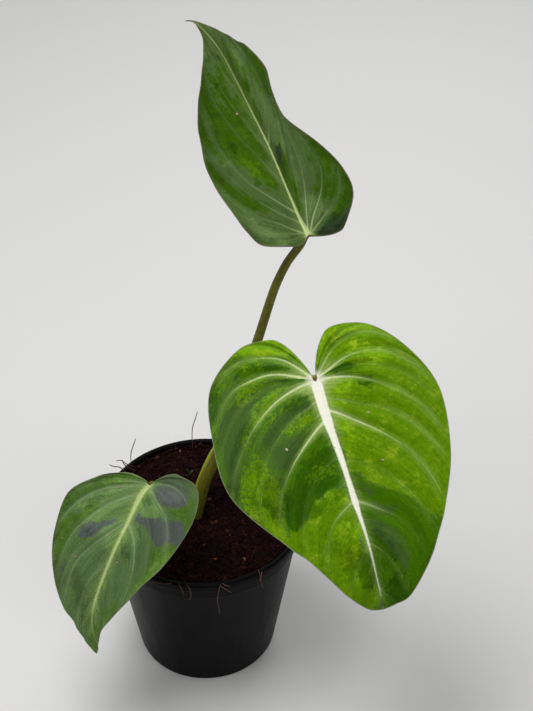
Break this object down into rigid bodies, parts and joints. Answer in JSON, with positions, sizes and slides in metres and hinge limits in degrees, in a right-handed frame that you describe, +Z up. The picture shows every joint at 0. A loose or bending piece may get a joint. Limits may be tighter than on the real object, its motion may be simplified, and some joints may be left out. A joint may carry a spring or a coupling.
{
  "type": "potted philodendron gloriosum",
  "caption": "Young heart-leaved philodendron rooted in coir in a round tapered nursery pot, its broad ribbed blades held on slender petioles.",
  "frame": {"origin": "middle of the pot's underside, on the surface that it stands on", "axes": "+Z up along the pot's axis, -Y towards the front, where the large and small blades hang over the rim, +X to the right"},
  "size_m": [0.2105, 0.23, 0.3677],
  "materials": {
    "pot_plastic": "black moulded plastic, satin, lightly dusted with soil",
    "coir": "damp dark reddish-brown coir fibre and crumbs",
    "rhizome_skin": "tan corky skin with ring scars",
    "petiole_skin": "olive green, faintly ribbed and speckled, satin",
    "blade_light_green": "velvety lime and dark green with cream veins",
    "blade_mid_green": "velvety mid green with grey-green patches and pale veins",
    "blade_dark_green": "matt dark green with lighter streaks and a thin pink-grey margin"
  },
  "bodies": {
    "root": {"pot": "pot_plastic", "soil": "coir", "rhizome": "rhizome_skin", "petiole_large": "petiole_skin", "petiole_small": "petiole_skin", "petiole_top": "petiole_skin", "blade_large": "blade_light_green", "blade_small": "blade_mid_green", "blade_top": "blade_dark_green"}
  },
  "joints": []
}
